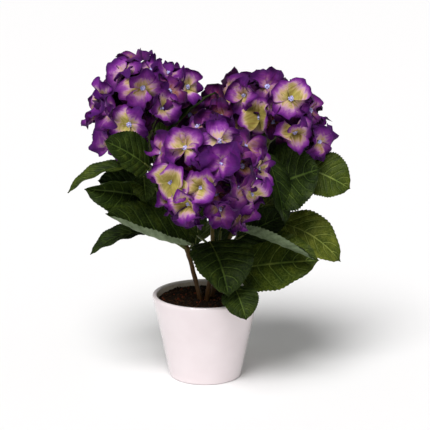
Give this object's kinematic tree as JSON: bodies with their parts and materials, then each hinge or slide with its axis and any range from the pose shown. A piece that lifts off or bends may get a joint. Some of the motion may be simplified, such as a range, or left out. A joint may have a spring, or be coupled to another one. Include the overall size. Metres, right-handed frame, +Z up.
{
  "type": "artificial potted hydrangea",
  "caption": "Artificial hydrangea: mophead blooms and broad serrated leaves on upright stems in a white tapered pot.",
  "frame": {"origin": "centre of the pot's flat underside", "axes": "+Z up along the plant, -Y towards the front, which the lowest bloom faces, +X to the right seen from the front"},
  "size_m": [0.3162, 0.2775, 0.3679],
  "materials": {
    "pot": "gloss",
    "soil": "matte",
    "stems": "satin",
    "leaves": "matte",
    "petals": "matte"
  },
  "bodies": {
    "root": {"bloom_front": "petals", "bloom_left": "petals", "bloom_right": "petals", "leaves_back_left_low": "leaves", "leaves_back_left_mid": "leaves", "leaves_back_left_top": "leaves", "leaves_back_right_low": "leaves", "leaves_back_right_mid": "leaves", "leaves_back_right_top": "leaves", "leaves_front_low": "leaves", "leaves_left_low": "leaves", "leaves_left_mid": "leaves", "leaves_left_top": "leaves", "leaves_middle": "leaves", "leaves_right_low": "leaves", "leaves_right_mid": "leaves", "leaves_right_top": "leaves", "pot": "pot", "soil": "soil", "stem_front": "stems", "stem_left": "stems", "stem_right": "stems"}
  },
  "joints": []
}
